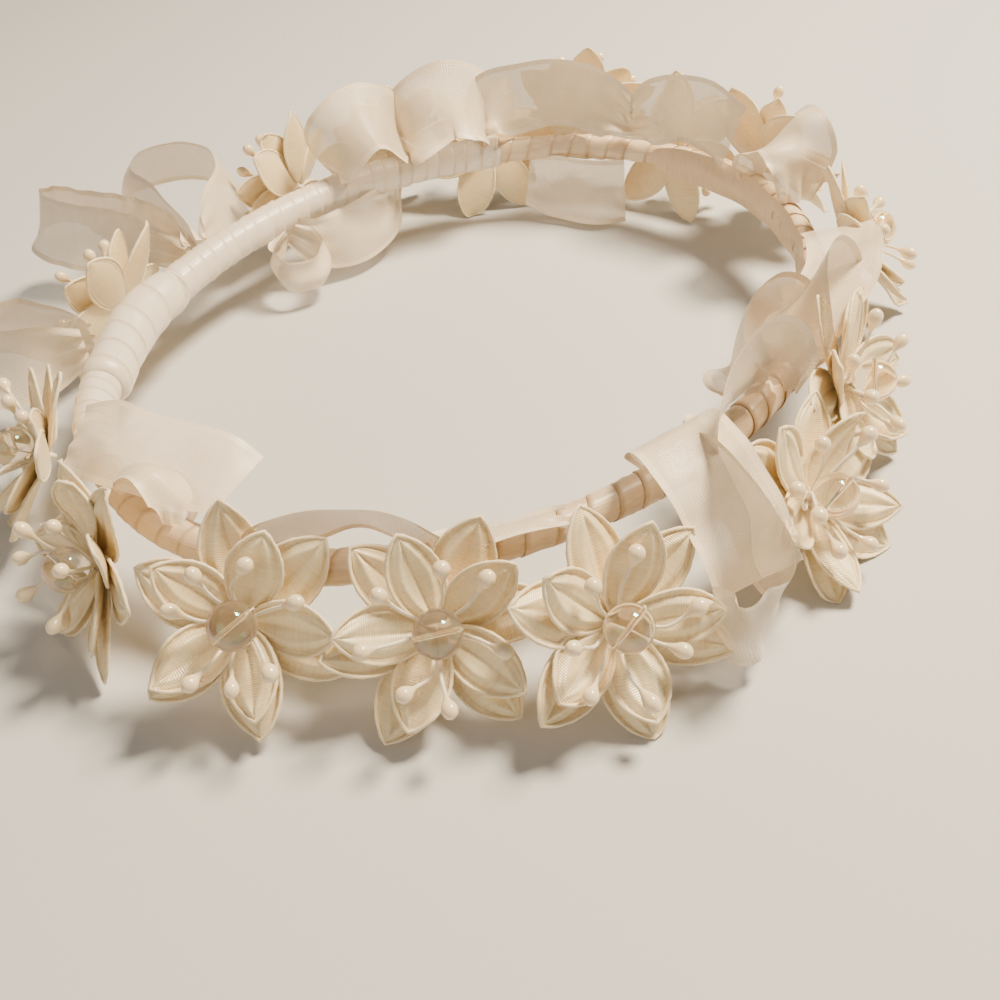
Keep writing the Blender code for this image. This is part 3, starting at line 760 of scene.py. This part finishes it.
# Loops and tails of sheer ribbon. Each has the azimuth it is tied at in degrees, its width in mm
# and its stations: the middle of the ribbon in mm and the direction of its width, both as tangent,
# outward and up from the band, and how far it is spread, from 0 gathered to 1 flat.
RIBBONS = {
    "bow_loop_large": (147, 20, [
        ((2, 4, 2), UPRIGHT, 0.35), ((0, 11, 3), (-0.1, 0, 1), 0.75),
        ((-5, 29, 4), (-0.25, 0, 1), 1), ((-12, 47, 4), (-0.2, -0.4, 1), 1),
        ((-25, 57, 5), (0, -0.65, 1), 1), ((-39, 50, 4), (0.3, -0.45, 1), 1),
        ((-40, 32, 3), (0.35, 0.1, 1), 1), ((-30, 19, 3), (0.1, 0.3, 1), 1),
        ((-16, 12, 3), (0, 0.3, 1), 1), ((-5, 8, 3), UPRIGHT, 0.75), ((0, 4, 3), UPRIGHT, 0.35)]),
    "bow_loop_small": (153, 20, [
        ((-5, 5, 1), UPRIGHT, 0.4), ((-11, 16, 1), UPRIGHT, 0.8), ((-12, 31, 1), (-0.2, 0, 1), 1),
        ((-12, 47, 2), (0.1, 0, 1), 1), ((-13, 62, 4), (0.4, -0.5, 1), 1),
        ((-6, 66, 4), (0, -0.6, 1), 1), ((-1, 60, 3), (-0.4, -0.4, 1), 1),
        ((-1, 47, 2), (-0.35, 0, 1), 1), ((-4, 35, 1), (-0.2, 0, 1), 1),
        ((-7, 23, 1), UPRIGHT, 0.8), ((-3, 5, 1), UPRIGHT, 0.4)]),
    "loop_left": (178, 20, [
        ((3, 6, 4), UPRIGHT, 0.5), ((2, 15, 4), UPRIGHT, 0.9), ((0, 25, 4), UPRIGHT, 1),
        ((3, 34, 5), (0.3, -0.3, 1), 1), ((12, 37, 5), (0, -0.5, 1), 1),
        ((18, 31, 4), (-0.4, -0.2, 1), 1), ((17, 21, 4), (-0.3, 0.1, 1), 1),
        ((12, 13, 4), UPRIGHT, 0.9), ((8, 6, 4), UPRIGHT, 0.5)]),
    "puff_back": (107, 22, [
        ((10, 0, 3), OUTWARD, 0.35), ((13, -1, 9), (0.3, 1, 0.2), 0.9),
        ((10, -4, 17), (0.5, 0.8, 0.5), 1), ((1, -5, 22), (0, 1, 0.9), 1),
        ((-8, -4, 18), (-0.5, 0.8, 0.5), 1), ((-12, -1, 9), (-0.3, 1, 0.2), 0.9),
        ((-9, 0, 3), OUTWARD, 0.35)]),
    "sash_back": (62, 22, [
        ((38, -8, 9), LEANING, 0.45), ((32, -7, 15), LEANING, 0.9), ((24, -3, 16), (0, 0.1, 1), 1),
        ((14, 1, 17), (0, -0.1, 1), 1), ((3, 0, 16), UPRIGHT, 1), ((-7, -2, 12), LEANING, 0.75),
        ((-12, -3, 9), LEANING, 0.4), ((-17, -4, 12), LEANING, 0.8),
        ((-27, -6, 16), (0, -0.15, 1), 1), ((-37, -11, 16), UPRIGHT, 1),
        ((-46, -19, 13), LEANING, 0.9)]),
    "tail_back": (66, 20, [
        ((15, -4, -10), LEANING, 0.8), ((5, -6, -11), (0, 0.2, 1), 1),
        ((-7, -8, -12), (0, 0.35, 1), 1), ((-17, -7, -12), (0, 0.2, 1), 1)]),
    "loop_right": (20, 20, [
        ((15, -1, 3), OUTWARD, 0.5), ((13, -1, 10), (0.1, 1, 0.3), 0.9),
        ((9, 0, 17), (0.1, 1, 0.5), 1), ((2, 2, 21), (0, 1, 0.5), 1),
        ((-5, 3, 16), (0, 1, 0.3), 1), ((-6, 2, 4), OUTWARD, 0.5)]),
    "tail_right": (-12, 18, [
        ((20, 3, 11), ACROSS, 1), ((10, 5, 14), ACROSS, 1), ((0, 6, 14.5), ACROSS, 1),
        ((-10, 5, 12), ACROSS, 1), ((-20, 1, 8), ACROSS, 0.9), ((-25, -1, 5), ACROSS, 0.6)]),
    "loop_front_right": (-36, 20, [
        ((-14, -2, 6), UPRIGHT, 0.5), ((-13, -5, 13), (0.1, 0.1, 1), 1),
        ((-4, -7, 15), (0, 0.15, 1), 1), ((6, -6, 15), (0, 0.1, 1), 1),
        ((12, -3, 11), UPRIGHT, 0.9), ((14, 0, 5), UPRIGHT, 0.5)]),
    "loop_front": (-64, 20, [
        ((5, 3, 3), UPRIGHT, 0.5), ((4, 9, 5), UPRIGHT, 0.9), ((2, 18, 6), (0, -0.1, 1), 1),
        ((0, 28, 3), (0.1, -0.2, 1), 1), ((-4, 37, -4), (0.2, -0.1, 1), 1),
        ((-12, 38, -8), (0.1, 0.2, 1), 1), ((-15, 31, -9), UPRIGHT, 0.9)]),
    "tail_left": (-147, 20, [
        ((-10, 3, 8), ASKEW, 0.8), ((-3, -1, 10), ASKEW, 1), ((5, -4, 11), ASKEW, 1),
        ((14, -10, 10.5), ASKEW, 1), ((23, -17, 9), ASKEW, 1),
        ((29, -21, 7), (0.9, 0.5, -0.1), 1)]),
}

# More of the same ribbon, caught in the wrapping between the pieces above. These have no node.
SMALL_RIBBONS = {
    "puff_back_right": (90, 24, [
        ((10, 0, 3), OUTWARD, 0.35), ((14, -2, 9), (0.3, 1, 0.3), 0.9),
        ((9, -4, 17), (0.4, 0.7, 0.8), 1), ((-1, -4, 21), (0, 0.8, 1), 1),
        ((-11, -3, 16), (-0.4, 0.8, 0.6), 1), ((-13, -1, 8), (-0.2, 1, 0.2), 0.8),
        ((-10, 0, 3), OUTWARD, 0.35)]),
    "loop_beside_right": (-24, 20, [
        ((16, 2, 5), OUTWARD, 0.5), ((15, 1, 11), (0.2, 1, 0.4), 0.9),
        ((7, 0, 17), (0.1, 0.7, 1), 1), ((-5, 1, 18), (0, 0.6, 1), 1),
        ((-14, 2, 11), (-0.2, 1, 0.4), 0.9), ((-16, 2, 5), OUTWARD, 0.5)]),
    "loop_behind_right": (-50, 20, [
        ((15, 3, 5), OUTWARD, 0.5), ((14, 2, 12), (0.2, 0.7, 0.8), 0.9),
        ((6, 3, 18), (0.1, 0.3, 1), 1), ((-5, 4, 17), (0, 0.3, 1), 1),
        ((-13, 4, 11), (-0.2, 0.6, 0.6), 0.9), ((-14, 3, 5), OUTWARD, 0.5)]),
    "loop_between_front": (-66, 22, [
        ((6, -3, 3), SIDEWAYS, 0.6), ((5, -3, 9), (1, 0, 0.1), 0.9),
        ((4, 3, 13), (1, 0.1, 0.1), 1), ((3, 12, 11), (1, 0.1, 0), 1),
        ((3, 22, 3), (1, 0.1, 0), 1), ((2, 30, -7), (1, 0, 0), 1)]),
    "ribbon_under_band": (120, 18, [
        ((-28, -2, -3), LEANING, 0.4), ((-19, -8, -8), LEANING, 0.9), ((-7, -11, -10), LEANING, 1),
        ((5, -9, -9), LEANING, 0.9), ((12, -4, -4), LEANING, 0.5)]),
    "loop_under_band": (120, 10, [
        ((8, -4, -5), UPRIGHT, 0.6), ((7, -12, -11), UPRIGHT, 1), ((13, -18, -13), UPRIGHT, 1),
        ((22, -15, -12), UPRIGHT, 1), ((22, -7, -9), UPRIGHT, 1), ((15, -4, -4), UPRIGHT, 0.6)]),
    "loop_front_left": (-107, 14, [
        ((-22, 0, 3), LEANING, 0.5), ((-15, -2, 8), (0, 0.5, 1), 1),
        ((-2, -4, 10), (0, 0.6, 1), 1), ((12, -2, 8), (0, 0.5, 1), 1),
        ((20, 0, 3), LEANING, 0.5)]),
    "ribbon_front": (-89, 12, [
        ((-14, 0, 4), OUTWARD, 0.6), ((-5, 0, 5.5), (0, 1, 0.3), 1), ((6, 1, 5.5), (0, 1, 0.3), 1),
        ((14, 2, 4), OUTWARD, 0.6)]),
    "loop_side_left": (-135, 12, [
        ((-9, 0, 4), OUTWARD, 0.5), ((-7, -3, 9), (0, 1, 0.3), 1), ((0, -4, 12), (0, 1, 0.5), 1),
        ((7, -3, 8), (0, 1, 0.3), 1), ((9, 0, 4), OUTWARD, 0.5)]),
}

# The mesh of a strip of organza, how far its folds stand out, and where its woven edges start.
STEPS_PER_STATION = 9
ORGANZA_COLUMNS = 25
LEAST_SPREAD = 0.2
PLEATS = 3
PLEAT_HEIGHT = 1.7 * MM
SAG_HEIGHT = 1.4 * MM
RIPPLE_HEIGHT = 0.70 * MM
SELVEDGE_PLACE = 0.90
RIBBON_SEED = 300
SMALL_RIBBON_SEED = 400


def organza_strip(name, azimuth, width, route, seed):
    """A soft strip of sheer ribbon through its stations, pleated where it is gathered."""
    middle, tangent, outward = (row[0] for row in ring_places(np.array([float(azimuth)])))
    basis = np.stack([tangent, outward, UPRIGHT])
    width = width * MM
    places, ways, spreads = zip(*route)
    line = curve_through([np.array(place) * MM @ basis + middle for place in places],
                         STEPS_PER_STATION)
    ways = unit(curve_through([unit(way) @ basis for way in ways], STEPS_PER_STATION))
    spread = curve_through([[share] for share in spreads], STEPS_PER_STATION)
    spread = np.clip(spread, LEAST_SPREAD, 1)
    ahead = unit(np.gradient(line, axis=0))
    ways = unit(ways - ahead * np.sum(ways * ahead, 1)[:, None])
    normal = np.cross(ahead, ways)
    run = run_along(line)[:, None]
    across = np.linspace(-1, 1, ORGANZA_COLUMNS)[None, :]
    pleat = PLEAT_HEIGHT * (1 - spread) * np.cos(PLEATS * math.pi * across)
    sag = SAG_HEIGHT * (across ** 2 - 0.4) * np.sin(math.pi * run / run[-1])
    height = pleat + sag + RIPPLE_HEIGHT * soft_noise(run * 230, across * 1.9, seed)
    points = (line[:, None] + ways[:, None] * (across * spread * width / 2)[..., None]
              + normal[:, None] * height[..., None])
    uvs = np.stack(np.broadcast_arrays(across * width / 2, run), -1)
    selvedge = 1.0 * (np.abs(across) > SELVEDGE_PLACE) + 0 * run
    shape = Shape()
    shape.add(points, grid_faces(len(line), ORGANZA_COLUMNS), uvs, selvedge)
    made = shape.build(name, [ORGANZA])
    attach(made, CROWN)
    return made


def make_organza():
    for seed, (name, route) in enumerate(RIBBONS.items()):
        strip = organza_strip(f"sheer_{name}", *route, RIBBON_SEED + seed)
        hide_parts(f"organza_{name}")
    for seed, (name, route) in enumerate(SMALL_RIBBONS.items()):
        organza_strip(f"sheer_{name}", *route, SMALL_RIBBON_SEED + seed)


# ---------------------------------------------------------------- stage

# The camera looks along +Y from in front of the ring, 41 degrees down and rolled 7 degrees. Its
# place is from the middle of the ring's wire, its lens and sensor are in millimetres.
CAMERA_PLACE = (2.6 * MM, -261.8 * MM, 159.4 * MM)
CAMERA_ELEVATION = math.radians(40.94)
CAMERA_ROLL = math.radians(-7.0)
CAMERA_LENS = 41.4
CAMERA_SENSOR = 36

FLOOR_SIZE = 6
LIGHT_TARGET = (0, 0, 0.02)


def make_camera():
    camera = bpy.data.objects.new("camera", bpy.data.cameras.new("camera"))
    bpy.context.scene.collection.objects.link(camera)
    camera.data.sensor_width = CAMERA_SENSOR
    camera.data.lens = CAMERA_LENS
    camera.data.clip_start = 0.01
    pitch = Matrix.Rotation(math.pi / 2 - CAMERA_ELEVATION, 4, "X")
    roll = Matrix.Rotation(CAMERA_ROLL, 4, "Z")
    low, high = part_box("ring_wire")
    middle = (Vector(low) + Vector(high)) / 2
    camera.matrix_world = Matrix.Translation(middle + Vector(CAMERA_PLACE)) @ pitch @ roll
    bpy.context.scene.camera = camera


def area_light(name, place, size, power, colour):
    """A round lamp that faces the crown."""
    light = bpy.data.lights.new(name, "AREA")
    light.shape = "DISK"
    light.size = size
    light.energy = power
    light.color = colour
    lamp = bpy.data.objects.new(name, light)
    bpy.context.scene.collection.objects.link(lamp)
    lamp.location = place
    way = Vector(LIGHT_TARGET) - Vector(place)
    lamp.rotation_euler = way.to_track_quat("-Z", "Y").to_euler()


def make_stage():
    bpy.ops.mesh.primitive_plane_add(size=FLOOR_SIZE)
    floor = bpy.context.object
    floor.name = "floor"
    floor.data.materials.append(floor_material())
    area_light("key", (0.46, 0.16, 0.80), size=0.26, power=27.0, colour=(1.0, 0.82, 0.58))
    area_light("fill", (-0.7, -0.8, 0.6), size=0.9, power=3.0, colour=(1.0, 0.86, 0.70))
    world = bpy.data.worlds.new("studio")
    world.use_nodes = True
    set_inputs(world.node_tree.nodes["Background"], Color=(1.0, 0.93, 0.84, 1), Strength=0.22)
    bpy.context.scene.world = world


make_camera()
make_stage()
make_band()
make_flowers()
make_organza()
